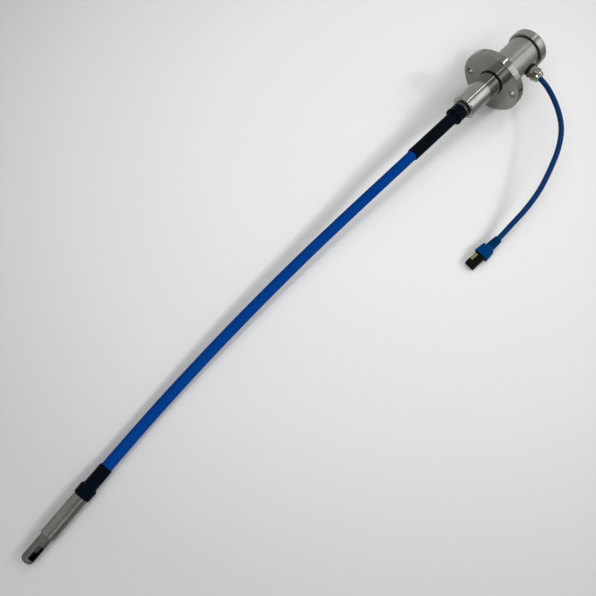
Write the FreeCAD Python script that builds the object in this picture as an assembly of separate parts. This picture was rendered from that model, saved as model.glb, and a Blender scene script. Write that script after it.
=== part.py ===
import FreeCAD, Part
import math
import os

# Temperature probe lying on a table: a windowed sensor on a hose, a flanged stem, a capped connection
# head and a short lead with a modular plug. Millimetres. The origin is the centre of the flange's
# mounting face, +X runs along the stem towards the sensor, +Y is level on the gland's side, +Z is up.

V = FreeCAD.Vector

# Flange, with its sealing ring on the mounting face
FLANGE_DIAMETER = 77.0
FLANGE_THICKNESS = 9.0
FLANGE_CHAMFER = 0.8
FLANGE_PASSAGE = 18.0
BOLT_EDGE = 8.5
BOLT_HOLE = 9.0
BOLT_COUNT = 2
BOLT_TURN = 10.0
FLANGE_RING_CORD = 1.2

# Stem tube
STEM_DIAMETER = 29.0
STEM_WALL = 3.0
STEM_LENGTH = 51.0
STEM_SEAT = 6.0
STEM_CHAMFER = 1.6

# Hose adapter in the stem's end, and the ring on its collar
ADAPTER_SEAT = 14.0
ADAPTER_COLLAR = 18.6
ADAPTER_COLLAR_LENGTH = 3.8
ADAPTER_GROOVE_DEPTH = 0.7
ADAPTER_LAND = 0.7
ADAPTER_NOTCHES = 18
ADAPTER_NOTCH = 1.6
STEM_RING_CORD = 1.2

# Hose, the lead inside it and the barbs that hold it
HOSE_DIAMETER = 12.0
HOSE_BORE = 8.0
LEAD_DIAMETER = 4.0
LEAD_CLEARANCE = 0.5
BARB_DEPTH = 0.6
BARB_PITCH = 3.6
BARB_RIDGES = 3

# Crimped ferrules and the shrink sleeves over them
UPPER_FERRULE_WALL = 2.5
UPPER_FERRULE_LENGTH = 13.4
UPPER_FERRULE_FLARE = 0.7
LOWER_FERRULE_WALL = 1.9
LOWER_FERRULE_LENGTH = 10.4
LOWER_FERRULE_FLARE = 0.2
FERRULE_MOUTH = 4.0
SLEEVE_WALL = 1.1
SLEEVE_SHOULDER = 2.4
UPPER_SLEEVE_GRIP = 68.4
LOWER_SLEEVE_GRIP = 22.2

# Sensor body
BODY_DIAMETER = 16.0
BODY_LENGTH = 46.0
BODY_CHAMFER = 0.9
BODY_BACK_WALL = 11.0

# Windowed tip guard
GUARD_DIAMETER = 12.7
GUARD_WALL = 1.8
GUARD_SHOULDER = 0.85
GUARD_LENGTH = 28.8
GUARD_SPIGOT = 8.0
GUARD_END_WALL = 2.6
GUARD_ROUND = 4.2
WINDOW_LENGTH = 14.4
WINDOW_WIDTH = 7.3
WINDOW_CORNER = 1.2
WINDOW_SETBACK = 5.0
WINDOW_LEAN = 48.0

# Sensing element and the holder behind it
HOLDER_NOSE_LENGTH = 8.0
HOLDER_NOSE_CLEARANCE = 0.4
ELEMENT_PIN = 3.4
ELEMENT_PIN_LENGTH = 7.0
ELEMENT_DIAMETER = 7.4
ELEMENT_LENGTH = 17.0
ELEMENT_ROUND = 1.6

# Connection head
HOUSING_DIAMETER = 40.0
HOUSING_WALL = 4.0
HOUSING_LENGTH = 53.5
NECK_STEP = 1.0
NECK_LENGTH = 9.5
NECK_CHAMFER = 0.8
CAP_WALL = 3.95
CAP_TOP = 2.4
CAP_ROUND = 2.2
CAP_CHAMFER = 0.5
CAP_CLEARANCE = 0.3
CAP_END_CLEARANCE = 0.3
CAP_SEAL_CORD = 1.0
CAP_SEAL_CLEARANCE = 0.15

# Terminal board in the head
STANDOFF_LENGTH = 20.0
STANDOFF_DIAMETER = 5.0
STANDOFF_INSET = 4.0
BOARD_CLEARANCE = 0.5
BOARD_THICKNESS = 1.6
SCREW_DIAMETER = 3.0
SCREW_GRIP = 6.0
SCREW_HEAD = 5.5
SCREW_HEAD_HEIGHT = 2.2
BLOCK_WIDTH = 16.0
BLOCK_DEPTH = 12.0
BLOCK_COVER = 5.6
BLOCK_POLES = 4
BLOCK_POLE_HOLE = 2.4
BLOCK_POLE_DEPTH = 5.0

# Cable gland on the housing's side
GLAND_SETBACK = 13.7
GLAND_TURN = -7.0
GLAND_SPOT_DEPTH = 1.2
GLAND_SPOT_MARGIN = 0.8
GLAND_THREAD = 12.0
GLAND_REACH = 6.0
GLAND_HEX_STEP = 1.5
GLAND_HEX_LENGTH = 4.0
GLAND_BODY_TURN = 14.0
GLAND_SPIGOT_WALL = 1.2
GLAND_SPIGOT_LENGTH = 7.0
GLAND_SEAL_WALL = 1.6
GLAND_SEAL_LENGTH = 6.0
GLAND_NUT_HEX = 5.0
GLAND_NUT_TURN = -12.0
GLAND_NUT_DOME = 5.6
GLAND_NUT_GAP = 0.5
GLAND_NUT_ROOM = 1.0
GLAND_DOME_STEP = 0.6
GLAND_DOME_ROUND = 3.4
GLAND_EDGE = 0.8
WASHER_MARGIN = 0.3
WASHER_THICKNESS = 3.2
WASHER_ROUND = 0.9

# Lead and its cores
CABLE_DIAMETER = 6.1
CABLE_CLEARANCE = 0.2
CABLE_STRIP = 0.4
CABLE_STRAIGHT = 42.0
CORE_DIAMETER = 1.2
CORE_PITCH = 1.7

# Modular plug
PLUG_WIDTH = 11.1
PLUG_HEIGHT = 6.6
PLUG_LENGTH = 21.5
PLUG_NOSE_CHAMFER = 1.0
PLUG_INSERT = 3.6
CONTACT_COUNT = 8
CONTACT_PITCH = 1.02
CONTACT_THICKNESS = 0.4
CONTACT_LENGTH = 6.0
CONTACT_DEPTH = 2.4
CONTACT_SETBACK = 1.0
SHIELD_THICKNESS = 0.35
SHIELD_SETBACK = 2.0
SHIELD_RIM = 2.1
LATCH_WIDTH = 6.0
LATCH_SHOULDER_LENGTH = 8.0
LATCH_TONGUE_WIDTH = 3.2
LATCH_TONGUE_LENGTH = 6.5
LATCH_THICKNESS = 1.1
LATCH_LIFT = 2.6

# Boot on the plug
BOOT_TAIL_LENGTH = 15.3
BOOT_TAIL_WALL = 1.5
BOOT_TAIL_FLARE = 0.9
BOOT_RIBS = 5
BOOT_RIB_PITCH = 2.4
BOOT_RIB_GAP = 1.0
BOOT_RIB_DEPTH = 0.8
BOOT_BLOCK_LENGTH = 11.5
BOOT_WALL = 2.5
BOOT_ROOF = 1.85
BOOT_TAPER = 1.15
BOOT_ROUND = 1.6
BOOT_CABLE_DEPTH = 16.3

# Sizes that follow from their neighbours
BOLT_CIRCLE = FLANGE_DIAMETER - 2 * BOLT_EDGE
STEM_BORE = STEM_DIAMETER - 2 * STEM_WALL
LEAD_PASSAGE = LEAD_DIAMETER + 2 * LEAD_CLEARANCE
BARB_ROOT = HOSE_BORE - 2 * BARB_DEPTH
SLEEVE_ROUND = 0.8 * SLEEVE_WALL
GUARD_BORE = GUARD_DIAMETER - 2 * GUARD_WALL
BODY_CHAMBER = GUARD_DIAMETER - 2 * GUARD_SHOULDER
HOUSING_BORE = HOUSING_DIAMETER - 2 * HOUSING_WALL
NECK_DIAMETER = HOUSING_DIAMETER - 2 * NECK_STEP
CAP_BORE = NECK_DIAMETER + 2 * CAP_CLEARANCE
CAP_DIAMETER = CAP_BORE + 2 * CAP_WALL
STANDOFF_RADIUS = HOUSING_BORE / 2 - STANDOFF_INSET
GLAND_FLATS = GLAND_THREAD + 2 * GLAND_HEX_STEP
GLAND_CORNERS = GLAND_FLATS / math.cos(math.radians(30))
GLAND_DOME = GLAND_FLATS - 2 * GLAND_DOME_STEP
WASHER_DIAMETER = GLAND_FLATS + 2 * WASHER_MARGIN
GLAND_BORE = CABLE_DIAMETER + 2 * CABLE_CLEARANCE
GLAND_SEAL_DIAMETER = CABLE_DIAMETER + 2 * GLAND_SEAL_WALL
GLAND_SPIGOT = GLAND_SEAL_DIAMETER + 2 * GLAND_SPIGOT_WALL
BOOT_TAIL_SMALL = CABLE_DIAMETER + 2 * BOOT_TAIL_WALL
BOOT_TAIL_LARGE = BOOT_TAIL_SMALL + 2 * BOOT_TAIL_FLARE
SHIELD_WIDTH = PLUG_WIDTH + 2 * SHIELD_THICKNESS
SHIELD_HEIGHT = PLUG_HEIGHT + 2 * SHIELD_THICKNESS
BOOT_FRONT_WIDTH = SHIELD_WIDTH + 2 * BOOT_WALL
BOOT_BACK_WIDTH = BOOT_FRONT_WIDTH - 2 * BOOT_TAPER
BOOT_HEIGHT = SHIELD_HEIGHT + 2 * BOOT_ROOF

# Stations along the stem's axis
HOSE_START = STEM_LENGTH + ADAPTER_COLLAR_LENGTH
SHOULDER_X = -FLANGE_THICKNESS - HOUSING_LENGTH
CAP_SEAL_X = SHOULDER_X - CAP_SEAL_CLEARANCE - CAP_SEAL_CORD / 2
CAP_FRONT_X = SHOULDER_X - CAP_SEAL_CORD - 2 * CAP_SEAL_CLEARANCE
BOARD_X = -FLANGE_THICKNESS - STANDOFF_LENGTH
BOARD_BACK_X = BOARD_X - BOARD_THICKNESS
GLAND_X = SHOULDER_X + GLAND_SETBACK
BLOCK_TOP_X = GLAND_X - BLOCK_COVER
NECK_END_X = SHOULDER_X - NECK_LENGTH
CAP_BACK_X = NECK_END_X - CAP_END_CLEARANCE - CAP_TOP

# Stations along the gland's axis, out from the stem's axis
GLAND_SPOT = HOUSING_DIAMETER / 2 - GLAND_SPOT_DEPTH
GLAND_HEX_START = GLAND_SPOT + WASHER_THICKNESS
GLAND_HEX_END = GLAND_HEX_START + GLAND_HEX_LENGTH
GLAND_SPIGOT_END = GLAND_HEX_END + GLAND_SPIGOT_LENGTH
CABLE_START = GLAND_HEX_END + CABLE_STRIP
GLAND_COS = math.cos(math.radians(GLAND_TURN))
GLAND_SIN = math.sin(math.radians(GLAND_TURN))
GLAND_WAY = V(0, GLAND_COS, GLAND_SIN)

# Route of the hose: straight out of the stem, down to the table and along it to the sensor
HOSE_ROUTE = [
    (HOSE_START, 0.0, 0.0),
    (175.0, 0.0, 0.0),
    (295.0, -5.9, -19.0),
    (405.0, -6.1, -32.5),
    (512.0, 1.4, -32.5),
    (585.0, 10.1, -29.3),
    (634.6, 15.9, -29.3),
]

# Route of the lead: out of the gland, round in a nearly level arc, then down to the plug, whose nose is on the table
CABLE_ROUTE = [
    (GLAND_X, CABLE_START * GLAND_COS, CABLE_START * GLAND_SIN),
    (GLAND_X, CABLE_STRAIGHT * GLAND_COS, CABLE_STRAIGHT * GLAND_SIN),
    (-40.6, 59.4, -5.1),
    (-26.5, 78.9, -3.2),
    (-7.9, 97.2, -1.4),
    (15.8, 110.7, -1.8),
    (41.8, 119.9, -4.8),
    (69.0, 127.6, -9.2),
    (95.7, 130.5, -14.4),
    (120.9, 130.1, -20.6),
    (138.8, 130.1, -26.5),
    (154.9, 128.8, -29.7),
]

# Overrun of a cutter past the face it opens, and how near two places count as one
CUT = 1.0
NEAR = 1e-5


def turned(profile):
    """Solid of revolution about X from (x, radius) corners."""
    corners = [V(x, r, 0) for x, r in profile]
    face = Part.Face(Part.makePolygon(corners + corners[:1]))
    return face.revolve(V(0, 0, 0), V(1, 0, 0), 360)


def rod(diameter, x0, x1, y=0.0, z=0.0):
    """Cylinder along X."""
    return Part.makeCylinder(diameter / 2, x1 - x0, V(x0, y, z), V(1, 0, 0))


def pipe(outer, inner, x0, x1):
    """Plain tube along X."""
    return rod(outer, x0, x1).cut(rod(inner, x0 - CUT, x1 + CUT))


def ring(cord, inner, x):
    """Round rubber ring about X."""
    return Part.makeTorus((inner + cord) / 2, cord / 2, V(x, 0, 0), V(1, 0, 0))


def hexagon(flats, x0, x1, turn):
    """Hexagon along X, turned from a flat on top, with its corners turned off at both ends."""
    corner = flats / 2 / math.cos(math.radians(30))
    points = []
    for k in range(6):
        a = math.radians(60 * k + turn)
        points.append(V(x0, corner * math.cos(a), corner * math.sin(a)))
    bar = Part.Face(Part.makePolygon(points + points[:1])).extrude(V(x1 - x0, 0, 0))
    blank = rod(2 * corner, x0, x1)
    for x in (x0, x1):
        blank = blank.makeChamfer(GLAND_EDGE, end_edges(blank, x, corner))
    return bar.common(blank)


def block(x0, x1, width, z0, z1):
    """Box centred on Y = 0."""
    return Part.makeBox(x1 - x0, width, z1 - z0, V(x0, -width / 2, z0))


def end_edges(shape, x, radius):
    """Circular edges of a turned shape at one station."""
    found = []
    for edge in shape.Edges:
        curve = edge.Curve
        if isinstance(curve, Part.Circle):
            if abs(curve.Center.x - x) < NEAR and abs(curve.Radius - radius) < NEAR:
                found.append(edge)
    return found


def placed(shape, base, direction):
    """Copy of a shape drawn along X, moved to a base point and turned to a direction."""
    copy = shape.copy()
    copy.Placement = FreeCAD.Placement(base, FreeCAD.Rotation(V(1, 0, 0), direction))
    return copy


def barb(x, sign):
    """Corners of a hose barb that leaves a shoulder at x towards +X or -X."""
    corners = [(x, BARB_ROOT / 2)]
    for k in range(BARB_RIDGES):
        edge = x + sign * BARB_PITCH * (k + 0.6)
        corners.append((edge, BARB_ROOT / 2))
        corners.append((edge, HOSE_BORE / 2))
    corners.append((x + sign * BARB_PITCH * (BARB_RIDGES + 0.6), BARB_ROOT / 2))
    return corners


def cord_path(name, route):
    """Straight runs joined by the largest tangent arcs they allow, with the radii printed."""
    points = [V(*p) for p in route]
    edges = []
    radii = []
    start = points[0]
    for before, corner, after in zip(points, points[1:], points[2:]):
        into = corner - before
        out = after - corner
        reach = 0.45 * min(into.Length, out.Length)
        half = into.getAngle(out) / 2
        radius = reach / math.tan(half)
        into.normalize()
        out.normalize()
        inward = out - into
        inward.normalize()
        first = corner - into * reach
        last = corner + out * reach
        middle = corner + inward * (radius / math.cos(half) - radius)
        edges.append(Part.LineSegment(start, first).toShape())
        edges.append(Part.Arc(first, middle, last).toShape())
        radii.append(round(radius))
        start = last
    edges.append(Part.LineSegment(start, points[-1]).toShape())
    wire = Part.Wire(edges)
    print(name, "length", round(wire.Length, 1), "radii", radii)
    return wire


def swept_rod(path, route, diameter):
    """Round solid along a path."""
    start = V(*route[0])
    section = Part.Wire(Part.makeCircle(diameter / 2, start, V(*route[1]) - start))
    solid = path.makePipeShell([section], True, False)
    expected = math.pi * diameter ** 2 / 4 * path.Length
    print("volume over section times length:", round(solid.Volume / expected, 4))
    return solid


def flange_plate():
    """Disc with a stepped bore for the stem and two bolt holes."""
    rim = FLANGE_DIAMETER / 2
    plate = turned([
        (-FLANGE_THICKNESS, FLANGE_PASSAGE / 2),
        (-FLANGE_THICKNESS, rim - FLANGE_CHAMFER),
        (FLANGE_CHAMFER - FLANGE_THICKNESS, rim),
        (-FLANGE_CHAMFER, rim),
        (0, rim - FLANGE_CHAMFER),
        (0, STEM_DIAMETER / 2),
        (-STEM_SEAT, STEM_DIAMETER / 2),
        (-STEM_SEAT, FLANGE_PASSAGE / 2),
    ])
    for k in range(BOLT_COUNT):
        a = math.radians(BOLT_TURN + 360 * k / BOLT_COUNT)
        y = BOLT_CIRCLE / 2 * math.cos(a)
        z = BOLT_CIRCLE / 2 * math.sin(a)
        plate = plate.cut(rod(BOLT_HOLE, -FLANGE_THICKNESS - CUT, CUT, y, z))
    return plate


def stem_tube():
    """Polished tube welded into the flange, chamfered at its free end."""
    return turned([
        (-STEM_SEAT, STEM_BORE / 2),
        (-STEM_SEAT, STEM_DIAMETER / 2),
        (STEM_LENGTH - STEM_CHAMFER, STEM_DIAMETER / 2),
        (STEM_LENGTH, STEM_DIAMETER / 2 - STEM_CHAMFER),
        (STEM_LENGTH, STEM_BORE / 2),
    ])


def hose_adapter():
    """Turned plug in the stem's end with a grooved, notched bright collar and the hose barb."""
    tip = barb(HOSE_START, 1)
    rim = ADAPTER_COLLAR / 2
    groove_end = HOSE_START - ADAPTER_LAND
    groove_start = STEM_LENGTH + STEM_RING_CORD + ADAPTER_LAND
    plug = turned([
        (STEM_LENGTH - ADAPTER_SEAT, LEAD_PASSAGE / 2),
        (STEM_LENGTH - ADAPTER_SEAT, STEM_BORE / 2),
        (STEM_LENGTH, STEM_BORE / 2),
        (STEM_LENGTH, rim),
        (groove_start, rim),
        (groove_start, rim - ADAPTER_GROOVE_DEPTH),
        (groove_end, rim - ADAPTER_GROOVE_DEPTH),
        (groove_end, rim),
        (HOSE_START, rim),
    ] + tip + [(tip[-1][0], LEAD_PASSAGE / 2)])
    for k in range(ADAPTER_NOTCHES):
        a = 2 * math.pi * k / ADAPTER_NOTCHES
        y = rim * math.cos(a)
        z = rim * math.sin(a)
        plug = plug.cut(rod(ADAPTER_NOTCH, STEM_LENGTH + STEM_RING_CORD, HOSE_START + CUT, y, z))
    return plug


def ferrule_outline(wall, length, flare, cover=0.0):
    """Outside corners of a ferrule from x = 0 to its flared mouth, with the thickness of what covers it."""
    radius = HOSE_DIAMETER / 2 + wall + cover
    return [
        (0, radius),
        (length - FERRULE_MOUTH, radius),
        (length - FERRULE_MOUTH / 2, radius + flare),
        (length, radius + flare),
    ]


def ferrule(wall, length, flare):
    """Crimped ferrule with a flared mouth on the hose side."""
    bore = HOSE_DIAMETER / 2
    return turned([(0, bore)] + ferrule_outline(wall, length, flare) + [(length, bore)])


def shrink_sleeve(wall, length, flare, grip):
    """Sleeve shrunk over a ferrule that starts at x = 0 and down onto the hose behind it."""
    hose = HOSE_DIAMETER / 2
    small = hose + SLEEVE_WALL
    inside = ferrule_outline(wall, length, flare)
    outside = ferrule_outline(wall, length, flare, SLEEVE_WALL)
    slope_end = length + SLEEVE_SHOULDER
    end = slope_end + grip
    tail = [(slope_end, small), (end, small), (end, hose), (length, hose)]
    sleeve = turned(outside + tail + inside[::-1])
    for x, radius in (outside[0], outside[-1], (end, small)):
        sleeve = sleeve.makeFillet(SLEEVE_ROUND, end_edges(sleeve, x, radius))
    return sleeve


def sensor_body():
    """Turned body with its barb behind x = 0 and the chamber for holder and guard in front."""
    tail = barb(0, -1)
    radius = BODY_DIAMETER / 2
    return turned([(tail[-1][0], LEAD_PASSAGE / 2)] + tail[::-1] + [
        (0, radius - BODY_CHAMFER),
        (BODY_CHAMFER, radius),
        (BODY_LENGTH - BODY_CHAMFER, radius),
        (BODY_LENGTH, radius - BODY_CHAMFER),
        (BODY_LENGTH, BODY_CHAMBER / 2),
        (BODY_BACK_WALL, BODY_CHAMBER / 2),
        (BODY_BACK_WALL, LEAD_PASSAGE / 2),
    ])


def tip_guard():
    """Hollow nose with a rounded end and one milled window that leans to the gland's side."""
    end = BODY_LENGTH + GUARD_LENGTH
    back = BODY_LENGTH - GUARD_SPIGOT
    shell = turned([
        (back, 0),
        (back, BODY_CHAMBER / 2),
        (BODY_LENGTH, BODY_CHAMBER / 2),
        (BODY_LENGTH, GUARD_DIAMETER / 2),
        (end, GUARD_DIAMETER / 2),
        (end, 0),
    ])
    shell = shell.makeFillet(GUARD_ROUND, end_edges(shell, end, GUARD_DIAMETER / 2))
    shell = shell.cut(rod(GUARD_BORE, back - CUT, end - GUARD_END_WALL))
    front = end - WINDOW_SETBACK
    cutter = block(front - WINDOW_LENGTH, front, WINDOW_WIDTH, 0, GUARD_DIAMETER)
    upright = [e for e in cutter.Edges if abs(e.tangentAt(e.FirstParameter).z) > 0.9]
    cutter = cutter.makeFillet(WINDOW_CORNER, upright)
    cutter.rotate(V(0, 0, 0), V(1, 0, 0), -WINDOW_LEAN)
    return shell.cut(cutter)


def element_holder():
    """Insulating plug that fills the body's chamber and carries the element in its nose."""
    back = BODY_LENGTH - GUARD_SPIGOT
    nose = back + HOLDER_NOSE_LENGTH
    holder = turned([
        (BODY_BACK_WALL, 0),
        (BODY_BACK_WALL, BODY_CHAMBER / 2),
        (back, BODY_CHAMBER / 2),
        (back, GUARD_BORE / 2 - HOLDER_NOSE_CLEARANCE),
        (nose, GUARD_BORE / 2 - HOLDER_NOSE_CLEARANCE),
        (nose, 0),
    ])
    return holder.cut(rod(ELEMENT_PIN, nose - ELEMENT_PIN_LENGTH, nose + CUT))


def sensing_element():
    """Round-ended stick on a pin."""
    nose = BODY_LENGTH - GUARD_SPIGOT + HOLDER_NOSE_LENGTH
    end = nose + ELEMENT_LENGTH
    stick = rod(ELEMENT_DIAMETER, nose, end)
    stick = stick.makeFillet(ELEMENT_ROUND, end_edges(stick, end, ELEMENT_DIAMETER / 2))
    return stick.fuse(rod(ELEMENT_PIN, nose - ELEMENT_PIN_LENGTH, nose)).removeSplitter()


def head_housing():
    """Thick-walled housing with a threaded neck, a spot face and the gland's hole."""
    end = NECK_END_X
    shell = turned([
        (-FLANGE_THICKNESS, HOUSING_BORE / 2),
        (-FLANGE_THICKNESS, HOUSING_DIAMETER / 2),
        (SHOULDER_X, HOUSING_DIAMETER / 2),
        (SHOULDER_X, NECK_DIAMETER / 2),
        (end + NECK_CHAMFER, NECK_DIAMETER / 2),
        (end, NECK_DIAMETER / 2 - NECK_CHAMFER),
        (end, HOUSING_BORE / 2),
    ])
    spot = rod(GLAND_CORNERS + 2 * GLAND_SPOT_MARGIN, GLAND_SPOT, HOUSING_DIAMETER)
    hole = rod(GLAND_THREAD, 0, HOUSING_DIAMETER)
    for cutter in (spot, hole):
        shell = shell.cut(placed(cutter, V(GLAND_X, 0, 0), GLAND_WAY))
    return shell


def head_cap():
    """Round screw cap with a rounded back edge."""
    cup = turned([
        (CAP_BACK_X, 0),
        (CAP_BACK_X, CAP_DIAMETER / 2),
        (CAP_FRONT_X - CAP_CHAMFER, CAP_DIAMETER / 2),
        (CAP_FRONT_X, CAP_DIAMETER / 2 - CAP_CHAMFER),
        (CAP_FRONT_X, 0),
    ])
    cup = cup.makeFillet(CAP_ROUND, end_edges(cup, CAP_BACK_X, CAP_DIAMETER / 2))
    return cup.cut(rod(CAP_BORE, CAP_BACK_X + CAP_TOP, CAP_FRONT_X + CUT))


def standoff_places():
    """Centres of the two standoffs, above and below the axis."""
    return [(0.0, STANDOFF_RADIUS), (0.0, -STANDOFF_RADIUS)]


def board_standoffs():
    """Tapped posts between flange and board."""
    posts = []
    for y, z in standoff_places():
        post = rod(STANDOFF_DIAMETER, BOARD_X, -FLANGE_THICKNESS, y, z)
        posts.append(post.cut(rod(SCREW_DIAMETER, BOARD_X - CUT, BOARD_X + SCREW_GRIP, y, z)))
    return Part.makeCompound(posts)


def board_screws():
    """Pan-head screws that hold the board on its standoffs."""
    screws = []
    for y, z in standoff_places():
        head = rod(SCREW_HEAD, BOARD_BACK_X - SCREW_HEAD_HEIGHT, BOARD_BACK_X, y, z)
        shank = rod(SCREW_DIAMETER, BOARD_BACK_X, BOARD_X + SCREW_GRIP, y, z)
        screws.append(head.fuse(shank).removeSplitter())
    return Part.makeCompound(screws)


def terminal_board():
    """Round circuit board across the housing."""
    board = rod(HOUSING_BORE - 2 * BOARD_CLEARANCE, BOARD_BACK_X, BOARD_X)
    for y, z in standoff_places():
        board = board.cut(rod(SCREW_DIAMETER, BOARD_BACK_X - CUT, BOARD_X + CUT, y, z))
    return board


def terminal_block():
    """Terminal strip on the board, with a screw well for each pole."""
    strip = block(BLOCK_TOP_X, BOARD_BACK_X, BLOCK_WIDTH, -BLOCK_DEPTH / 2, BLOCK_DEPTH / 2)
    pitch = BLOCK_WIDTH / BLOCK_POLES
    for k in range(BLOCK_POLES):
        y = pitch * (k + 0.5) - BLOCK_WIDTH / 2
        strip = strip.cut(rod(BLOCK_POLE_HOLE, BLOCK_TOP_X - CUT, BLOCK_TOP_X + BLOCK_POLE_DEPTH, y))
    return strip


def gland_body():
    """Hexagon with the thread into the housing and the spigot for the nut."""
    body = hexagon(GLAND_FLATS, GLAND_HEX_START, GLAND_HEX_END, GLAND_BODY_TURN)
    body = body.fuse(rod(GLAND_THREAD, GLAND_SPOT - GLAND_REACH, GLAND_HEX_START))
    body = body.fuse(rod(GLAND_SPIGOT, GLAND_HEX_END, GLAND_SPIGOT_END)).removeSplitter()
    body = body.cut(rod(GLAND_BORE, 0, GLAND_SPIGOT_END + CUT))
    seat = rod(GLAND_SEAL_DIAMETER, GLAND_SPIGOT_END - GLAND_SEAL_LENGTH, GLAND_SPIGOT_END + CUT)
    return body.cut(seat)


def gland_washer():
    """Thick rubber washer with rounded outer edges."""
    washer = pipe(WASHER_DIAMETER, GLAND_THREAD, GLAND_SPOT, GLAND_HEX_START)
    for x in (GLAND_SPOT, GLAND_HEX_START):
        washer = washer.makeFillet(WASHER_ROUND, end_edges(washer, x, WASHER_DIAMETER / 2))
    return washer


def gland_nut():
    """Hexagon nut with a round dome, hollow over the body's spigot and open for the lead."""
    start = GLAND_HEX_END + GLAND_NUT_GAP
    neck = start + GLAND_NUT_HEX
    end = neck + GLAND_NUT_DOME
    dome = rod(GLAND_DOME, neck, end)
    dome = dome.makeFillet(GLAND_DOME_ROUND, end_edges(dome, end, GLAND_DOME / 2))
    nut = hexagon(GLAND_FLATS, start, neck, GLAND_NUT_TURN).fuse(dome).removeSplitter()
    nut = nut.cut(rod(GLAND_SPIGOT, start - CUT, GLAND_SPIGOT_END + GLAND_NUT_ROOM))
    return nut.cut(rod(GLAND_BORE, start, end + CUT))


def cable_cores():
    """Four cores from the lead's end to the terminal strip."""
    cores = []
    for y in (-CORE_PITCH / 2, CORE_PITCH / 2):
        for z in (-CORE_PITCH / 2, CORE_PITCH / 2):
            cores.append(rod(CORE_DIAMETER, BLOCK_WIDTH / 2, CABLE_START, y, z))
    return Part.makeCompound(cores)


def plug_boot():
    """Flexible boot from x = 0: a ribbed tail, then a flared block that grips the plug."""
    slope = (BOOT_TAIL_LARGE - BOOT_TAIL_SMALL) / BOOT_TAIL_LENGTH / 2
    profile = [(0, 0), (0, BOOT_TAIL_SMALL / 2)]
    for k in range(BOOT_RIBS):
        x = BOOT_RIB_PITCH * (k + 0.5)
        outside = BOOT_TAIL_SMALL / 2 + slope * x
        profile.append((x, outside))
        profile.append((x, outside - BOOT_RIB_DEPTH))
        profile.append((x + BOOT_RIB_GAP, outside - BOOT_RIB_DEPTH))
        profile.append((x + BOOT_RIB_GAP, outside))
    profile += [(BOOT_TAIL_LENGTH, BOOT_TAIL_LARGE / 2), (BOOT_TAIL_LENGTH, 0)]
    front = BOOT_TAIL_LENGTH + BOOT_BLOCK_LENGTH
    ends = []
    for x, width in ((BOOT_TAIL_LENGTH, BOOT_BACK_WIDTH), (front, BOOT_FRONT_WIDTH)):
        y, z = width / 2, BOOT_HEIGHT / 2
        ends.append(Part.makePolygon([V(x, -y, -z), V(x, y, -z), V(x, y, z), V(x, -y, z), V(x, -y, -z)]))
    grip = Part.makeLoft(ends, True, True)
    long_edges = [e for e in grip.Edges if e.BoundBox.XLength > BOOT_BLOCK_LENGTH / 2]
    grip = grip.makeFillet(BOOT_ROUND, long_edges)
    boot = grip.fuse(turned(profile)).removeSplitter()
    boot = boot.cut(rod(CABLE_DIAMETER, -CUT, BOOT_CABLE_DEPTH))
    high = SHIELD_HEIGHT / 2
    return boot.cut(block(front - PLUG_INSERT, front + CUT, SHIELD_WIDTH, -high, high))


def plug_stations():
    """Back and front of the plug, measured from the boot's tail end."""
    back = BOOT_TAIL_LENGTH + BOOT_BLOCK_LENGTH - PLUG_INSERT
    return back, back + PLUG_LENGTH


def contact_blades():
    """The row of contact blades under the plug's nose, flush with its underside."""
    front = plug_stations()[1] - CONTACT_SETBACK
    low = -PLUG_HEIGHT / 2
    blades = []
    for k in range(CONTACT_COUNT):
        blade = block(front - CONTACT_LENGTH, front, CONTACT_THICKNESS, low, low + CONTACT_DEPTH)
        blade.translate(V(0, CONTACT_PITCH * (k - (CONTACT_COUNT - 1) / 2), 0))
        blades.append(blade)
    return Part.makeCompound(blades)


def plug_body():
    """Moulded plug with slots for the contacts and its springy latch on top."""
    back, front = plug_stations()
    top = PLUG_HEIGHT / 2
    body = block(back, front, PLUG_WIDTH, -top, top)
    nose = [e for e in body.Edges if e.BoundBox.XMin > front - NEAR and e.BoundBox.YLength > CUT]
    body = body.makeChamfer(PLUG_NOSE_CHAMFER, nose)
    root = front - PLUG_NOSE_CHAMFER
    run = LATCH_SHOULDER_LENGTH + LATCH_TONGUE_LENGTH
    for width, near, far in (
        (LATCH_WIDTH, 0.0, LATCH_SHOULDER_LENGTH),
        (LATCH_TONGUE_WIDTH, LATCH_SHOULDER_LENGTH, run),
    ):
        z0 = top - LATCH_THICKNESS / 2 + LATCH_LIFT * near / run
        z1 = top - LATCH_THICKNESS / 2 + LATCH_LIFT * far / run
        side = [
            V(root - near, -width / 2, z0),
            V(root - far, -width / 2, z1),
            V(root - far, -width / 2, z1 + LATCH_THICKNESS),
            V(root - near, -width / 2, z0 + LATCH_THICKNESS),
        ]
        strip = Part.Face(Part.makePolygon(side + side[:1])).extrude(V(0, width, 0))
        body = body.fuse(strip)
    return body.removeSplitter().cut(contact_blades())


def plug_shield():
    """Folded sheet round the plug: both sides, the underside behind the contacts and a rim along the top."""
    back, front = plug_stations()
    top = PLUG_HEIGHT / 2
    edge = front - SHIELD_SETBACK
    sheet = block(back, edge, SHIELD_WIDTH, -SHIELD_HEIGHT / 2, SHIELD_HEIGHT / 2)
    sheet = sheet.cut(block(back - CUT, edge + CUT, PLUG_WIDTH, -top, top))
    sheet = sheet.cut(block(back - CUT, edge + CUT, PLUG_WIDTH - 2 * SHIELD_RIM, top - CUT, top + 2 * CUT))
    heel = front - CONTACT_SETBACK - CONTACT_LENGTH - CONTACT_SETBACK
    return sheet.cut(block(heel, edge + CUT, PLUG_WIDTH, -top - 2 * CUT, -top + CUT))


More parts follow.
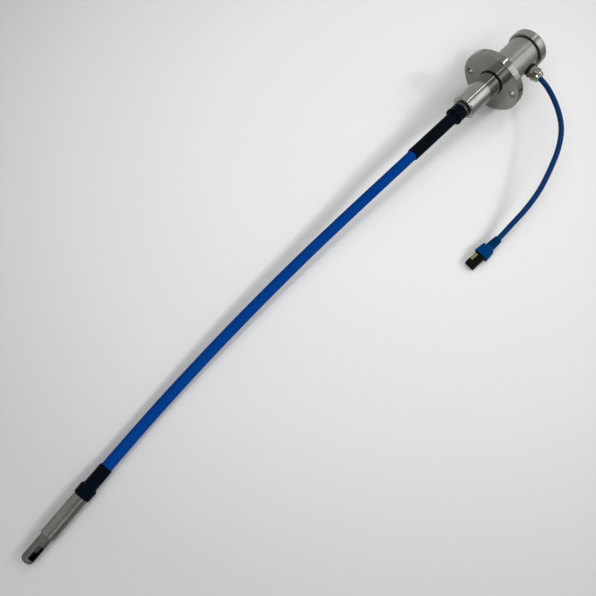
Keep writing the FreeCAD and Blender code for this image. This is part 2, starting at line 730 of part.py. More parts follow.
def head_parts():
    """Flange, stem and connection head, all on the stem's axis, with the board turned to the gland."""
    parts = {
        "flange_plate": flange_plate(),
        "stem_tube": stem_tube(),
        "flange_o_ring": ring(FLANGE_RING_CORD, STEM_DIAMETER, FLANGE_RING_CORD / 2),
        "hose_adapter": hose_adapter(),
        "stem_end_ring": ring(STEM_RING_CORD, ADAPTER_COLLAR, STEM_LENGTH + STEM_RING_CORD / 2),
        "head_housing": head_housing(),
        "head_cap": head_cap(),
        "cap_seal": ring(CAP_SEAL_CORD, CAP_BORE, CAP_SEAL_X),
    }
    board = {
        "board_standoffs": board_standoffs(),
        "terminal_board": terminal_board(),
        "board_screws": board_screws(),
        "terminal_block": terminal_block(),
    }
    for name, shape in board.items():
        shape.rotate(V(0, 0, 0), V(1, 0, 0), GLAND_TURN)
        parts[name] = shape
    return parts


def gland_parts():
    """Gland pieces, drawn along X and turned out of the housing's side."""
    pieces = {
        "gland_washer": gland_washer(),
        "gland_body": gland_body(),
        "gland_seal": pipe(
            GLAND_SEAL_DIAMETER, CABLE_DIAMETER, GLAND_SPIGOT_END - GLAND_SEAL_LENGTH, GLAND_SPIGOT_END
        ),
        "gland_nut": gland_nut(),
        "cable_cores": cable_cores(),
    }
    return {name: placed(shape, V(GLAND_X, 0, 0), GLAND_WAY) for name, shape in pieces.items()}


def hose_parts():
    """Hose with its inner lead, ferrules, sleeves and the sensor at its far end."""
    start = V(*HOSE_ROUTE[0])
    end = V(*HOSE_ROUTE[-1])
    onward = end - V(*HOSE_ROUTE[-2])
    onward.normalize()
    path = cord_path("probe_hose", HOSE_ROUTE)
    hose = swept_rod(path, HOSE_ROUTE, HOSE_DIAMETER).cut(swept_rod(path, HOSE_ROUTE, HOSE_BORE))
    lead_end = end + onward * BODY_BACK_WALL
    lead_route = [(BOARD_X, 0.0, 0.0)] + HOSE_ROUTE[1:-1] + [(lead_end.x, lead_end.y, lead_end.z)]
    lead_path = cord_path("inner_lead", lead_route)
    parts = {
        "probe_hose": hose,
        "inner_lead": swept_rod(lead_path, lead_route, LEAD_DIAMETER),
    }
    upper = (UPPER_FERRULE_WALL, UPPER_FERRULE_LENGTH, UPPER_FERRULE_FLARE)
    lower = (LOWER_FERRULE_WALL, LOWER_FERRULE_LENGTH, LOWER_FERRULE_FLARE)
    for name, base, way, crimp, grip in (
        ("upper", start, V(1, 0, 0), upper, UPPER_SLEEVE_GRIP),
        ("lower", end, -onward, lower, LOWER_SLEEVE_GRIP),
    ):
        parts[name + "_ferrule"] = placed(ferrule(*crimp), base, way)
        parts[name + "_sleeve"] = placed(shrink_sleeve(*crimp, grip), base, way)
    sensor = {
        "sensor_body": sensor_body(),
        "tip_guard": tip_guard(),
        "element_holder": element_holder(),
        "sensing_element": sensing_element(),
    }
    for name, shape in sensor.items():
        parts[name] = placed(shape, end, onward)
    return parts


def lead_parts():
    """Lead from the gland with the boot and plug on its end."""
    path = cord_path("signal_cable", CABLE_ROUTE)
    end = V(*CABLE_ROUTE[-1])
    onward = end - V(*CABLE_ROUTE[-2])
    onward.normalize()
    tail = end - onward * BOOT_CABLE_DEPTH
    parts = {"signal_cable": swept_rod(path, CABLE_ROUTE, CABLE_DIAMETER)}
    plug = {
        "plug_boot": plug_boot(),
        "plug_body": plug_body(),
        "plug_shield": plug_shield(),
        "plug_contacts": contact_blades(),
    }
    for name, shape in plug.items():
        parts[name] = placed(shape, tail, onward)
    return parts


os.makedirs("parts", exist_ok=True)
for parts in (head_parts(), gland_parts(), hose_parts(), lead_parts()):
    for node, shape in parts.items():
        shape.exportStep("parts/" + node + ".step")
        print(node, "solids", len(shape.Solids), "valid", shape.isValid(), "volume", round(shape.Volume, 1))
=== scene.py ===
import math

import bmesh
import bpy
from mathutils import Matrix, Vector


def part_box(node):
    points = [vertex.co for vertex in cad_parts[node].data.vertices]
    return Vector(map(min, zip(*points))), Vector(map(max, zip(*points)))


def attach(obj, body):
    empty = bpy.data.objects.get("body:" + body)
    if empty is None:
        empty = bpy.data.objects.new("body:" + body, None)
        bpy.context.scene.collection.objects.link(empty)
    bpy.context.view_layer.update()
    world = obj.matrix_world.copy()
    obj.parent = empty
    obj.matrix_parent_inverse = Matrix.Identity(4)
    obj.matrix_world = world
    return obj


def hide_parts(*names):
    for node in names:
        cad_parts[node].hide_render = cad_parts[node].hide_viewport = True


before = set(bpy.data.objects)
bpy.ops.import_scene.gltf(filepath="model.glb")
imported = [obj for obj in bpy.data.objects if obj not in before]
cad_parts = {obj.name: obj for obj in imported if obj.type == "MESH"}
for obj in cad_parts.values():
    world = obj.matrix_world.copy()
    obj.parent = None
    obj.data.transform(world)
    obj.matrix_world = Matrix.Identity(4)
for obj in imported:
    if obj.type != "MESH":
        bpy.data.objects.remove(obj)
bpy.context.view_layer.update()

# Camera: a plain one that looks down at the photograph's angle, from the sensor's side of the flange.
# Its lens is given in pixels of that picture, whose colours are shown as they are.
picture_width = 596
focal_length = 720
eye = Vector((0.5479, 0.2223, 0.6831))
ahead = Vector((-0.2679, -0.2623, -0.9270)).normalized()
side = ahead.cross(Vector((0, 0, 1))).normalized()
camera = bpy.data.objects.new("camera", bpy.data.cameras.new("camera"))
camera.data.sensor_width = 36.0
camera.data.lens = camera.data.sensor_width * focal_length / picture_width
camera.matrix_world = Matrix((side, side.cross(ahead), -ahead)).transposed().to_4x4()
camera.location = eye
bpy.context.collection.objects.link(camera)
bpy.context.scene.camera = camera
bpy.context.scene.view_settings.view_transform = "Standard"

# Table: a pale painted top that just touches the flange's rim. Its tone carries a painted pool of light,
# palest round the head and greyer further out, and for rays from steel a painted shade makes it darker, most
# of all on the plug's side.
table_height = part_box("flange_plate")[0].z
table_middle = 0.3
table_half = 6.0
# Painted light: centre, reach and tones of a pool of light painted into the table's colour.
painted_light_centre = (0.105, -0.07, table_height)
painted_light_reach = 3
painted_light_tones = (
    (0.0, 0.86), (1.0, 0.86), (0.6, 0.6), (0.733, 0.48), (0.817, 0.565), (0.873, 0.72), (0.933, 0.83),
)
# Painted shade: across Y the table is painted darker for glossy rays, so steel mirrors it darker.
reflection_shade_edges = (0.035, 0.075)
reflection_shade_levels = (0.75, 0.28)


def ramp(nodes, stops):
    """Colour ramp from (position, colour) stops."""
    band = nodes.new("ShaderNodeValToRGB")
    for k, (position, colour) in enumerate(stops):
        spot = band.color_ramp.elements[k] if k < 2 else band.color_ramp.elements.new(position)
        spot.position = position
        spot.color = (*colour, 1)
    return band


shape = bmesh.new()
bmesh.ops.create_grid(shape, x_segments=1, y_segments=1, size=table_half,
                      matrix=Matrix.Translation((table_middle, 0.0, table_height)))
table_mesh = bpy.data.meshes.new("table")
shape.to_mesh(table_mesh)
shape.free()
table = bpy.data.objects.new("table", table_mesh)
bpy.context.collection.objects.link(table)
table_paint = bpy.data.materials.new("table_paint")
table_paint.use_nodes = True
nodes, links = table_paint.node_tree.nodes, table_paint.node_tree.links
place = nodes.new("ShaderNodeTexCoord")
around = nodes.new("ShaderNodeMapping")
around.vector_type = "TEXTURE"
around.inputs["Location"].default_value = painted_light_centre
around.inputs["Scale"].default_value = (painted_light_reach, painted_light_reach, painted_light_reach)
links.new(place.outputs["Object"], around.inputs["Vector"])
fall = nodes.new("ShaderNodeTexGradient")
fall.gradient_type = "SPHERICAL"
links.new(around.outputs["Vector"], fall.inputs["Vector"])
# Painted light: the tone falls from the pool's centre outward, a painted pool of light.
tone = ramp(nodes, [(position, (level, level, level)) for position, level in painted_light_tones])
links.new(fall.outputs["Fac"], tone.inputs["Fac"])
# Painted shade: for glossy rays the tone is scaled down towards the plug's side.
across = nodes.new("ShaderNodeSeparateXYZ")
links.new(place.outputs["Object"], across.inputs["Vector"])
reflection_shade_ramp = nodes.new("ShaderNodeMapRange")
reflection_shade_ramp.inputs["From Min"].default_value = reflection_shade_edges[0]
reflection_shade_ramp.inputs["From Max"].default_value = reflection_shade_edges[1]
reflection_shade_ramp.inputs["To Min"].default_value = reflection_shade_levels[0]
reflection_shade_ramp.inputs["To Max"].default_value = reflection_shade_levels[1]
links.new(across.outputs["Y"], reflection_shade_ramp.inputs["Value"])
ray = nodes.new("ShaderNodeLightPath")
shade = nodes.new("ShaderNodeMix")
shade.inputs["A"].default_value = 1.0
links.new(ray.outputs["Is Glossy Ray"], shade.inputs["Factor"])
links.new(reflection_shade_ramp.outputs["Result"], shade.inputs["B"])
top_tone = nodes.new("ShaderNodeVectorMath")
top_tone.operation = "SCALE"
links.new(tone.outputs["Color"], top_tone.inputs["Vector"])
links.new(shade.outputs["Result"], top_tone.inputs["Scale"])
links.new(top_tone.outputs["Vector"], nodes["Principled BSDF"].inputs["Base Color"])
nodes["Principled BSDF"].inputs["Roughness"].default_value = 0.55
table_mesh.materials.append(table_paint)

# Room: plain grey walls, a little paler away from the plug's side. They give the table only part of their
# light, and show whole in steel.
wall_levels = ((0.0, 0.52), (1.0, 0.30), (0.32, 0.50), (0.45, 0.32), (0.85, 0.38))
table_share = 0.36
backdrop_share = 0.6
room = bpy.data.worlds.new("room")
room.use_nodes = True
nodes, links = room.node_tree.nodes, room.node_tree.links
bearing = nodes.new("ShaderNodeTexCoord")
sides = nodes.new("ShaderNodeSeparateXYZ")
links.new(bearing.outputs["Generated"], sides.inputs["Vector"])
spread = nodes.new("ShaderNodeMapRange")
spread.inputs["From Min"].default_value = -1.0
links.new(sides.outputs["Y"], spread.inputs["Value"])
walls = ramp(nodes, [(position, (level, level, level)) for position, level in wall_levels])
links.new(spread.outputs["Result"], walls.inputs["Fac"])
links.new(walls.outputs["Color"], nodes["Background"].inputs["Color"])
path = nodes.new("ShaderNodeLightPath")
share = nodes.new("ShaderNodeMapRange")
share.inputs["To Min"].default_value = table_share
links.new(path.outputs["Is Glossy Ray"], share.inputs["Value"])
seen = nodes.new("ShaderNodeMath")
seen.operation = "MULTIPLY_ADD"
seen.inputs[1].default_value = backdrop_share
links.new(path.outputs["Is Camera Ray"], seen.inputs[0])
links.new(share.outputs["Result"], seen.inputs[2])
links.new(seen.outputs["Value"], nodes["Background"].inputs["Strength"])
bpy.context.scene.world = room

# Lamps: two rows on the ceiling run along the stem's line, one overhead beside a wide glow and one on the
# plug's side. Their light on the table is softer than their image in steel, so steel mirrors slim ones.


def soft_lamp(name, place, target, width, height, level):
    """Rectangular lamp that faces a target, with its brightness as a level where 1 is white."""
    lamp = bpy.data.objects.new(name, bpy.data.lights.new(name, "AREA"))
    lamp.data.shape = "RECTANGLE"
    lamp.data.size = width
    lamp.data.size_y = height
    lamp.data.energy = level * math.pi * width * height
    aim = (Vector(target) - Vector(place)).to_track_quat("-Z", "Y")
    lamp.matrix_world = Matrix.Translation(place) @ aim.to_matrix().to_4x4()
    bpy.context.collection.objects.link(lamp)
    return lamp


for row in (
    soft_lamp("overhead_row", (-0.6, -0.16, 3.0), (-0.6, -0.16, 0.0), 8.0, 0.9, 2.05),
    soft_lamp("side_row", (-0.6, 2.8, 3.0), (-0.6, 2.8, 0.0), 8.0, 1.1, 4.6),
    soft_lamp("side_lamp", (-1.65, 2.95, 3.0), (0.1, 0.1, 0.0), 0.25, 0.25, 122.0),
    soft_lamp("ceiling_glow", (-0.6, -1.1, 3.0), (-0.6, -1.1, 0.0), 8.0, 1.8, 0.62),
):
    row.visible_glossy = False
soft_lamp("ceiling_strip", (-1.0, -0.05, 1.5), (-1.0, -0.05, 0.0), 1.4, 0.10, 4.0)
soft_lamp("second_strip", (1.6, -0.05, 1.5), (1.6, -0.05, 0.0), 1.2, 0.10, 5.0)
soft_lamp("pale_panel", (-1.75, 1.55, 1.5), (-1.75, 1.55, 0.0), 1.7, 1.9, 0.95)
soft_lamp("far_panel", (-2.6, 4.2, 1.5), (-2.6, 4.2, 0.0), 3.4, 3.4, 0.6)
soft_lamp("second_panel", (2.2, 1.55, 1.5), (2.2, 1.55, 0.0), 1.7, 1.9, 1.05)
soft_lamp("side_strip", (0.5, 2.2, 1.5), (0.5, 2.2, 0.0), 1.2, 0.4, 1.6)

# Flange and stem: stainless steel turned on a lathe and polished, so fine rings run round every cylinder and
# across every end face, and the polish leaves faint cloudy patches. A bright collar carries the hose's barb;
# below its groove's radius it is painted nearly black, a painted shade in its groove and notches.
rings_per_metre = 4200.0
clouds_per_metre = 70.0
streaks_per_metre = (12, 420, 420)
grain_span = (0.3, 0.7)
edge_break = 0.0004
collar_shade_radius = 0.0090
bore_blend = 1.01


def turned_marks():
    """Node group: fine lathe rings about a piece's axis, soft clouds and streaks of wear, and the radius."""
    group = bpy.data.node_groups.new("turned_marks", "ShaderNodeTree")
    nodes, links = group.nodes, group.links
    for socket in ("Centre", "Turn"):
        group.interface.new_socket(socket, in_out="INPUT", socket_type="NodeSocketVector")
    group.interface.new_socket("Rings", in_out="INPUT", socket_type="NodeSocketFloat")
    for socket in ("Grain", "Cloud", "Streak", "Radius"):
        group.interface.new_socket(socket, in_out="OUTPUT", socket_type="NodeSocketFloat")
    entry, leave = nodes.new("NodeGroupInput"), nodes.new("NodeGroupOutput")
    place = nodes.new("ShaderNodeTexCoord")
    local = nodes.new("ShaderNodeMapping")
    local.vector_type = "TEXTURE"
    links.new(place.outputs["Object"], local.inputs["Vector"])
    links.new(entry.outputs["Centre"], local.inputs["Location"])
    links.new(entry.outputs["Turn"], local.inputs["Rotation"])
    along = nodes.new("ShaderNodeSeparateXYZ")
    links.new(local.outputs["Vector"], along.inputs["Vector"])
    across = nodes.new("ShaderNodeVectorMath")
    across.operation = "MULTIPLY"
    across.inputs[1].default_value = (0, 1, 1)
    links.new(local.outputs["Vector"], across.inputs[0])
    radius = nodes.new("ShaderNodeVectorMath")
    radius.operation = "LENGTH"
    links.new(across.outputs["Vector"], radius.inputs[0])
    facing_way = nodes.new("ShaderNodeMapping")
    facing_way.vector_type = "TEXTURE"
    links.new(place.outputs["Normal"], facing_way.inputs["Vector"])
    links.new(entry.outputs["Turn"], facing_way.inputs["Rotation"])
    facing = nodes.new("ShaderNodeSeparateXYZ")
    links.new(facing_way.outputs["Vector"], facing.inputs["Vector"])
    end_face = nodes.new("ShaderNodeMath")
    end_face.operation = "ABSOLUTE"
    links.new(facing.outputs["X"], end_face.inputs[0])
    station = nodes.new("ShaderNodeMix")
    links.new(end_face.outputs["Value"], station.inputs["Factor"])
    links.new(along.outputs["X"], station.inputs["A"])
    links.new(radius.outputs["Value"], station.inputs["B"])
    step = nodes.new("ShaderNodeMath")
    step.operation = "MULTIPLY"
    links.new(station.outputs["Result"], step.inputs[0])
    links.new(entry.outputs["Rings"], step.inputs[1])
    grain = nodes.new("ShaderNodeTexNoise")
    grain.noise_dimensions = "1D"
    grain.inputs["Scale"].default_value = 1.0
    grain.inputs["Detail"].default_value = 4.0
    links.new(step.outputs["Value"], grain.inputs["W"])
    cloud = nodes.new("ShaderNodeTexNoise")
    cloud.inputs["Scale"].default_value = clouds_per_metre
    cloud.inputs["Detail"].default_value = 3.0
    links.new(local.outputs["Vector"], cloud.inputs["Vector"])
    stretch = nodes.new("ShaderNodeVectorMath")
    stretch.operation = "MULTIPLY"
    stretch.inputs[1].default_value = streaks_per_metre
    links.new(local.outputs["Vector"], stretch.inputs[0])
    streak = nodes.new("ShaderNodeTexNoise")
    streak.inputs["Scale"].default_value = 1.0
    streak.inputs["Detail"].default_value = 3.0
    links.new(stretch.outputs["Vector"], streak.inputs["Vector"])
    links.new(grain.outputs["Fac"], leave.inputs["Grain"])
    links.new(streak.outputs["Fac"], leave.inputs["Streak"])
    links.new(cloud.outputs["Fac"], leave.inputs["Cloud"])
    links.new(radius.outputs["Value"], leave.inputs["Radius"])
    return group


lathe_rings = turned_marks()


def turned_metal(name, dark, light, smooth, rough, ring_depth,
                 centre=(0, 0, 0), turn=(0, 0, 0), bore=None, bore_shade_share=1.0):
    """Turned metal: two tones, two roughnesses, ring depth in metres, and a bore's tone share as painted
    shade.
    """
    metal = bpy.data.materials.new(name)
    metal.use_nodes = True
    nodes, links = metal.node_tree.nodes, metal.node_tree.links
    skin = nodes["Principled BSDF"]
    skin.inputs["Metallic"].default_value = 1.0
    marks = nodes.new("ShaderNodeGroup")
    marks.node_tree = lathe_rings
    marks.inputs["Centre"].default_value = centre
    marks.inputs["Turn"].default_value = turn
    marks.inputs["Rings"].default_value = rings_per_metre
    mottle = nodes.new("ShaderNodeMath")
    mottle.operation = "ADD"
    links.new(marks.outputs["Cloud"], mottle.inputs[0])
    links.new(marks.outputs["Streak"], mottle.inputs[1])
    half = nodes.new("ShaderNodeMath")
    half.operation = "MULTIPLY"
    half.inputs[1].default_value = 0.5
    links.new(mottle.outputs["Value"], half.inputs[0])
    tone = ramp(nodes, ((0.4, dark), (0.6, light)))
    links.new(half.outputs["Value"], tone.inputs["Fac"])
    links.new(tone.outputs["Color"], skin.inputs["Base Color"])
    # Painted shade: inside the bore radius the tone is cut to a share, darkening the hollow.
    if bore:
        outside = nodes.new("ShaderNodeMapRange")
        outside.inputs["From Min"].default_value = bore
        outside.inputs["From Max"].default_value = bore * bore_blend
        outside.inputs["To Min"].default_value = bore_shade_share
        links.new(marks.outputs["Radius"], outside.inputs["Value"])
        painted_bore_shade = nodes.new("ShaderNodeVectorMath")
        painted_bore_shade.operation = "SCALE"
        links.new(tone.outputs["Color"], painted_bore_shade.inputs["Vector"])
        links.new(outside.outputs["Result"], painted_bore_shade.inputs["Scale"])
        links.new(painted_bore_shade.outputs["Vector"], skin.inputs["Base Color"])
    polish = nodes.new("ShaderNodeMapRange")
    polish.inputs["From Min"].default_value = grain_span[0]
    polish.inputs["From Max"].default_value = grain_span[1]
    polish.inputs["To Min"].default_value = smooth
    polish.inputs["To Max"].default_value = rough
    links.new(marks.outputs["Grain"], polish.inputs["Value"])
    links.new(polish.outputs["Result"], skin.inputs["Roughness"])
    relief = nodes.new("ShaderNodeBump")
    relief.inputs["Strength"].default_value = 1.0
    relief.inputs["Distance"].default_value = ring_depth
    links.new(marks.outputs["Grain"], relief.inputs["Height"])
    broken_edge = nodes.new("ShaderNodeBevel")
    broken_edge.inputs["Radius"].default_value = edge_break
    links.new(broken_edge.outputs["Normal"], relief.inputs["Normal"])
    links.new(relief.outputs["Normal"], skin.inputs["Normal"])
    return metal


def dress(finish, *names):
    """Gives CAD pieces a finish."""
    for name in names:
        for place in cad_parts[name].material_slots:
            place.material = finish


flange_steel = turned_metal("flange_steel", (0.34, 0.335, 0.31), (0.41, 0.405, 0.375), 0.09, 0.15, 2e-6)
stem_steel = turned_metal("stem_steel", (0.41, 0.405, 0.375), (0.49, 0.485, 0.455), 0.12, 0.20, 3e-6)
# Painted shade: the collar's groove and notches, below their radius, are painted nearly black.
collar_steel = turned_metal("collar_steel", (0.66, 0.655, 0.62), (0.76, 0.755, 0.72), 0.05, 0.1, 2e-6,
                            bore=collar_shade_radius, bore_shade_share=0.06)
dress(flange_steel, "flange_plate")
dress(stem_steel, "stem_tube", "upper_ferrule", "lower_ferrule")
dress(collar_steel, "hose_adapter")

# Rubber: the rings on the flange, on the stem's end and under the cap, and the gland's washer and seal.
# They are moulded in black rubber with a fine matt grain.


def moulded_grain():
    """Node group: a fine even grain over a moulded piece."""
    group = bpy.data.node_groups.new("moulded_grain", "ShaderNodeTree")
    nodes, links = group.nodes, group.links
    group.interface.new_socket("Scale", in_out="INPUT", socket_type="NodeSocketFloat")
    group.interface.new_socket("Grain", in_out="OUTPUT", socket_type="NodeSocketFloat")
    entry, leave = nodes.new("NodeGroupInput"), nodes.new("NodeGroupOutput")
    place = nodes.new("ShaderNodeTexCoord")
    grain = nodes.new("ShaderNodeTexNoise")
    grain.inputs["Detail"].default_value = 3.0
    links.new(place.outputs["Object"], grain.inputs["Vector"])
    links.new(entry.outputs["Scale"], grain.inputs["Scale"])
    links.new(grain.outputs["Fac"], leave.inputs["Grain"])
    return group


fine_grain = moulded_grain()


def grainy(name, colour, pale, roughness, scale, depth, gloss=0.5):
    """Moulded material with a fine grain: two tones, roughness, grain size, depth in metres and gloss."""
    stuff = bpy.data.materials.new(name)
    stuff.use_nodes = True
    nodes, links = stuff.node_tree.nodes, stuff.node_tree.links
    skin = nodes["Principled BSDF"]
    skin.inputs["Roughness"].default_value = roughness
    skin.inputs["Specular IOR Level"].default_value = gloss
    marks = nodes.new("ShaderNodeGroup")
    marks.node_tree = fine_grain
    marks.inputs["Scale"].default_value = scale
    tone = ramp(nodes, ((0.35, colour), (0.7, pale)))
    links.new(marks.outputs["Grain"], tone.inputs["Fac"])
    links.new(tone.outputs["Color"], skin.inputs["Base Color"])
    relief = nodes.new("ShaderNodeBump")
    relief.inputs["Distance"].default_value = depth
    links.new(marks.outputs["Grain"], relief.inputs["Height"])
    links.new(relief.outputs["Normal"], skin.inputs["Normal"])
    return stuff


seal_rubber = grainy("seal_rubber", (0.004, 0.004, 0.004), (0.008, 0.008, 0.008), 0.5, 1500.0, 3e-5, 0.2)
dress(seal_rubber, "flange_o_ring", "stem_end_ring", "cap_seal", "gland_washer", "gland_seal")

# Connection head: a thick turned housing in satin steel. Its screw cap runs on a fine right-hand thread,
# which is cut round the housing's neck and shows when the cap is turned out.
neck_radius = 0.0190
thread_pitch = 0.0015
thread_turns = 4
thread_steps = 60
thread_start = -0.0648
thread_ridge = ((-0.0006, -0.00005), (-0.0001, 0.00024), (0.0001, 0.00024), (0.0006, -0.00005))
head_steel = turned_metal("head_steel", (0.41, 0.405, 0.375), (0.48, 0.475, 0.445), 0.31, 0.39, 5e-6)
cap_steel = turned_metal("cap_steel", (0.38, 0.375, 0.35), (0.46, 0.455, 0.425), 0.20, 0.28, 4e-6)
dress(head_steel, "head_housing")
dress(cap_steel, "head_cap")
shape = bmesh.new()
ridge_end = shape.faces.new(
    [shape.verts.new((thread_start + along, neck_radius + out, 0)) for along, out in thread_ridge])
bmesh.ops.spin(shape, geom=[ridge_end], cent=(0, 0, 0), axis=(-1, 0, 0),
               dvec=(-thread_pitch / thread_steps, 0, 0), angle=2 * math.pi * thread_turns,
               steps=thread_steps * thread_turns, use_merge=False)
bmesh.ops.recalc_face_normals(shape, faces=shape.faces)
thread_mesh = bpy.data.meshes.new("neck_thread")
shape.to_mesh(thread_mesh)
shape.free()
thread_mesh.materials.append(head_steel)
neck_thread = bpy.data.objects.new("neck_thread", thread_mesh)
bpy.context.collection.objects.link(neck_thread)
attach(neck_thread, "probe")

# Inside the head: a green circuit board on two brass posts, held by two zinc-plated screws, with a grey
# moulded terminal strip for the wires.
board_lacquer = grainy("board_lacquer", (0.012, 0.09, 0.035), (0.02, 0.13, 0.05), 0.35, 900.0, 2e-5)
strip_plastic = grainy("strip_plastic", (0.15, 0.15, 0.15), (0.2, 0.2, 0.2), 0.45, 1200.0, 2e-5)
post_brass = turned_metal("post_brass", (0.55, 0.40, 0.17), (0.64, 0.48, 0.22), 0.25, 0.4, 5e-6)
screw_zinc = turned_metal("screw_zinc", (0.55, 0.55, 0.54), (0.62, 0.62, 0.61), 0.25, 0.4, 5e-6)
dress(board_lacquer, "terminal_board")
dress(strip_plastic, "terminal_block")
dress(post_brass, "board_standoffs")
dress(screw_zinc, "board_screws")

# Gland: a nickel-plated brass body and domed nut, screwed into a flat on the housing's side and pointing a
# little down, with the lead's grey cores inside.
gland_x = -0.0488
gland_fall = math.radians(7)
gland_nickel = turned_metal("gland_nickel", (0.44, 0.43, 0.36), (0.57, 0.56, 0.48), 0.03, 0.07, 1e-6,
                            centre=(gland_x, 0, 0), turn=(0, gland_fall, math.pi / 2))
lead_sheath = grainy("lead_sheath", (0.2, 0.2, 0.2), (0.28, 0.28, 0.28), 0.5, 800.0, 2e-5)
dress(gland_nickel, "gland_body", "gland_nut")
dress(lead_sheath, "cable_cores")

# Hose: smooth blue hose of 12 mm, pushed over a barb and crimped at each end, and stiff enough to slope
# down from the stem to the sensor on the table. A thin grey lead runs through it from board to sensor.
hose_size = 0.012
hose_route = (
    (0.0548, 0.0, 0.0), (0.115, 0.0, 0.0), (0.165, -0.0001, -0.0004), (0.225, -0.0036, -0.0112),
    (0.315, -0.0052, -0.0185), (0.42, -0.0024, -0.0235), (0.5122, 0.0025, -0.0292),
    (0.585, 0.0101, -0.0293), (0.6346, 0.0159, -0.0293),
)
inner_wire_size = 0.004
inner_wire_start = (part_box("inner_lead")[0].x, 0.0, 0.0)
inner_wire_end = (0.6455, 0.0172, -0.0293)
inner_wire_route = (inner_wire_start, *hose_route[1:-1], inner_wire_end)


def cord_line(name, route, size, skin):
    """Round cord along a smooth line with the route's points as its control points."""
    curve = bpy.data.curves.new(name, "CURVE")
    curve.dimensions = "3D"
    curve.bevel_depth = size / 2
    curve.bevel_resolution = 10
    curve.use_fill_caps = True
    line = curve.splines.new("NURBS")
    line.points.add(len(route) - 1)
    for point, place in zip(line.points, route):
        point.co = (*place, 1)
    line.order_u = 3
    line.use_endpoint_u = True
    line.resolution_u = 16
    curve.materials.append(skin)
    cord = bpy.data.objects.new(name, curve)
    bpy.context.collection.objects.link(cord)
    return cord


hose_skin = grainy("hose_skin", (0.0, 0.0385, 0.217), (0.0001, 0.0450, 0.252), 0.42, 300.0, 4e-5, 0.035)
hose = cord_line("blue_hose", hose_route, hose_size, hose_skin)
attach(hose, "probe")
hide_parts("probe_hose")
inner_wire = cord_line("inner_wire", inner_wire_route, inner_wire_size, lead_sheath)
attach(inner_wire, "probe")
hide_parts("inner_lead")

# Shrink sleeves: black tubing shrunk over the crimped ferrules and down onto the hose at both ends, so that
# the ferrule's step shows through it.
sleeve_skin = grainy("sleeve_skin", (0.0002, 0.0020, 0.0046), (0.0005, 0.0030, 0.0064), 0.45, 260.0, 1.2e-4,
                     0.05)
dress(sleeve_skin, "upper_sleeve", "lower_sleeve")

# Sensor: a turned steel body with its barb in the hose's end, and a hollow nose screwed to it. The nose has
# one milled window, and behind it the dark element stands in its white holder. The nose's bore is darkened
# by painted shade.
sensor_start = Vector(hose_route[-1])
sensor_way = sensor_start - Vector(hose_route[-2])
sensor_turn = (0, 0, math.atan2(sensor_way.y, sensor_way.x))
nose_bore = 0.00457
tip_steel = turned_metal("tip_steel", (0.23, 0.23, 0.215), (0.30, 0.30, 0.28), 0.22, 0.30, 3e-6,
                         centre=sensor_start, turn=sensor_turn)
# Painted shade: inside its bore the nose's tone is cut to 0.6 of itself.
nose_steel = turned_metal("nose_steel", (0.155, 0.155, 0.147), (0.21, 0.21, 0.198), 0.36, 0.44, 3e-6,
                          centre=sensor_start, turn=sensor_turn, bore=nose_bore, bore_shade_share=0.6)
holder_white = grainy("holder_white", (0.62, 0.61, 0.58), (0.7, 0.69, 0.66), 0.5, 700.0, 2e-5)
element_black = grainy("element_black", (0.02, 0.02, 0.022), (0.035, 0.035, 0.037), 0.35, 900.0, 2e-5)
dress(tip_steel, "sensor_body")
dress(nose_steel, "tip_guard")
dress(holder_white, "element_holder")
dress(element_black, "sensing_element")

# Lead: navy data cable of 6.1 mm, clamped in the gland. It goes round in a level arc and down to the plug,
# which lies with its nose on the table.
lead_size = 0.0061
lead_route = (
    (-0.0488, 0.0262, -0.0032), (-0.0488, 0.0417, -0.0051), (-0.0406, 0.0594, -0.0051),
    (-0.0265, 0.0789, -0.0032), (-0.0079, 0.0972, -0.0014), (0.0158, 0.1107, -0.0018),
    (0.0418, 0.1199, -0.0048), (0.069, 0.1276, -0.0092), (0.0957, 0.1305, -0.0144),
    (0.1209, 0.1301, -0.0206), (0.1388, 0.1301, -0.0265), (0.1549, 0.1288, -0.0297),
)
lead_skin = grainy("lead_skin", (0.0010, 0.029, 0.114), (0.0014, 0.035, 0.137), 0.42, 600.0, 2e-5, 0.10)
lead = cord_line("navy_lead", lead_route, lead_size, lead_skin)
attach(lead, "probe")
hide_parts("signal_cable")

# Plug: a dark modular plug in a nickel shield with gold contacts, and a blue rubber boot moulded onto its
# back. The boot's grooves between its ribs are darkened by painted shade, and one side of the shield and plug
# body carries a yellowish painted reflection.
boot_tail = (0.13897, 0.13009, -0.02653)
boot_turn = (0.0, 0.1956, -0.0805)
rib_pitch = 0.0024
groove_start = 0.0012
groove_share = 0.42
ribs_start = 0.001
ribs_end = 0.0120
groove_shade = (0.0, 0.004, 0.020)
# Painted reflection: the band and side of a yellowish reflection painted on the shield and plug body.
reflection_patch_start = 0.0292
reflection_patch_end = 0.0378
reflection_patch_side = -0.0022
painted_reflection_tone = (0.46, 0.47, 0.22)


def sum_of(tree, operation, first, second):
    """Result of a sum in a node tree on two values, each a socket or a number."""
    working = tree.nodes.new("ShaderNodeMath")
    working.operation = operation
    for k, value in enumerate((first, second)):
        if isinstance(value, float):
            working.inputs[k].default_value = value
        else:
            tree.links.new(value, working.inputs[k])
    return working.outputs["Value"]


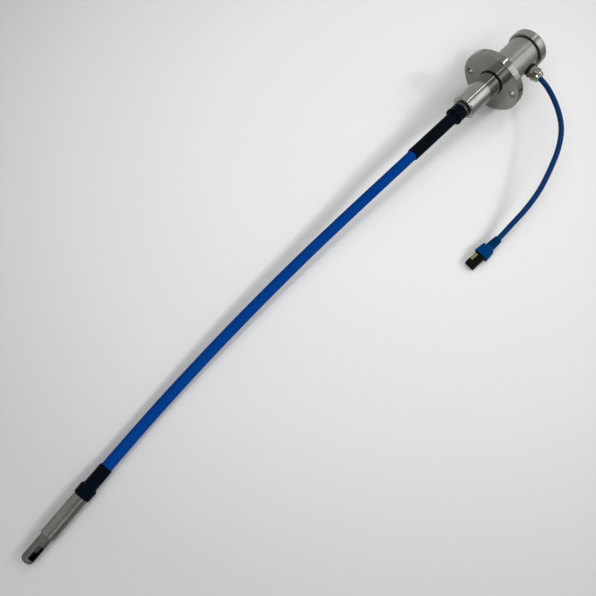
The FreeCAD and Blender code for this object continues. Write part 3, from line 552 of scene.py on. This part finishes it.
def plug_band():
    """Node group: place along and across the plug's axis from the boot's tail, and a band along it."""
    group = bpy.data.node_groups.new("plug_band", "ShaderNodeTree")
    nodes, links = group.nodes, group.links
    for socket in ("Start", "End"):
        group.interface.new_socket(socket, in_out="INPUT", socket_type="NodeSocketFloat")
    for socket in ("Along", "Across", "Band"):
        group.interface.new_socket(socket, in_out="OUTPUT", socket_type="NodeSocketFloat")
    entry, leave = nodes.new("NodeGroupInput"), nodes.new("NodeGroupOutput")
    place = nodes.new("ShaderNodeTexCoord")
    axis = nodes.new("ShaderNodeMapping")
    axis.vector_type = "TEXTURE"
    axis.inputs["Location"].default_value = boot_tail
    axis.inputs["Rotation"].default_value = boot_turn
    links.new(place.outputs["Object"], axis.inputs["Vector"])
    parts = nodes.new("ShaderNodeSeparateXYZ")
    links.new(axis.outputs["Vector"], parts.inputs["Vector"])
    past_start = sum_of(group, "GREATER_THAN", parts.outputs["X"], entry.outputs["Start"])
    before_end = sum_of(group, "LESS_THAN", parts.outputs["X"], entry.outputs["End"])
    links.new(parts.outputs["X"], leave.inputs["Along"])
    links.new(parts.outputs["Y"], leave.inputs["Across"])
    links.new(sum_of(group, "MULTIPLY", past_start, before_end), leave.inputs["Band"])
    return group


band_on_plug = plug_band()


def band_of(material, start, end):
    """The plug's band in a material, from one place to another in metres."""
    band = material.node_tree.nodes.new("ShaderNodeGroup")
    band.node_tree = band_on_plug
    band.inputs["Start"].default_value = start
    band.inputs["End"].default_value = end
    return band


def tinted(material, mask, tint):
    """Lays a tint over a material's base colour where a mask is 1, by a Mix node's colour sockets."""
    nodes, links = material.node_tree.nodes, material.node_tree.links
    skin = nodes["Principled BSDF"]
    below = skin.inputs["Base Color"].links[0].from_socket
    layer = nodes.new("ShaderNodeMix")
    layer.data_type = "RGBA"
    links.new(mask, layer.inputs[0])
    links.new(below, layer.inputs[6])
    layer.inputs[7].default_value = (*tint, 1)
    links.new(layer.outputs[2], skin.inputs["Base Color"])


boot_rubber = grainy("boot_rubber", (0.0001, 0.038, 0.143), (0.0002, 0.046, 0.171), 0.5, 700.0, 3e-5, 0.03)
# Painted shade: the grooves between the boot's ribs are painted dark in place of their shade.
ribs = band_of(boot_rubber, ribs_start, ribs_end)
boot_tree = boot_rubber.node_tree
step = sum_of(boot_tree, "SUBTRACT", ribs.outputs["Along"], groove_start)
step = sum_of(boot_tree, "DIVIDE", step, rib_pitch)
step = sum_of(boot_tree, "FRACT", step, 0.0)
groove = sum_of(boot_tree, "LESS_THAN", step, groove_share)
groove = sum_of(boot_tree, "MULTIPLY", groove, ribs.outputs["Band"])
tinted(boot_rubber, groove, groove_shade)
plug_plastic = grainy("plug_plastic", (0.002, 0.002, 0.0016), (0.004, 0.004, 0.003), 0.2, 700.0, 1e-5, 0.15)
shield_nickel = turned_metal("shield_nickel", (0.018, 0.018, 0.013), (0.03, 0.03, 0.022), 0.18, 0.3, 2e-6)
# Painted reflection: on one side of a band along the plug, shield and body get a yellowish painted tint.
for finish in (shield_nickel, plug_plastic):
    reflection_patch = band_of(finish, reflection_patch_start, reflection_patch_end)
    painted_reflection_mask = sum_of(finish.node_tree, "LESS_THAN", reflection_patch.outputs["Across"], reflection_patch_side)
    painted_reflection_mask = sum_of(finish.node_tree, "MULTIPLY", painted_reflection_mask, reflection_patch.outputs["Band"])
    tinted(finish, painted_reflection_mask, painted_reflection_tone)
contact_gold = turned_metal("contact_gold", (0.72, 0.50, 0.18), (0.8, 0.58, 0.24), 0.15, 0.25, 1e-6)
dress(boot_rubber, "plug_boot")
dress(plug_plastic, "plug_body")
dress(shield_nickel, "plug_shield")
dress(contact_gold, "plug_contacts")
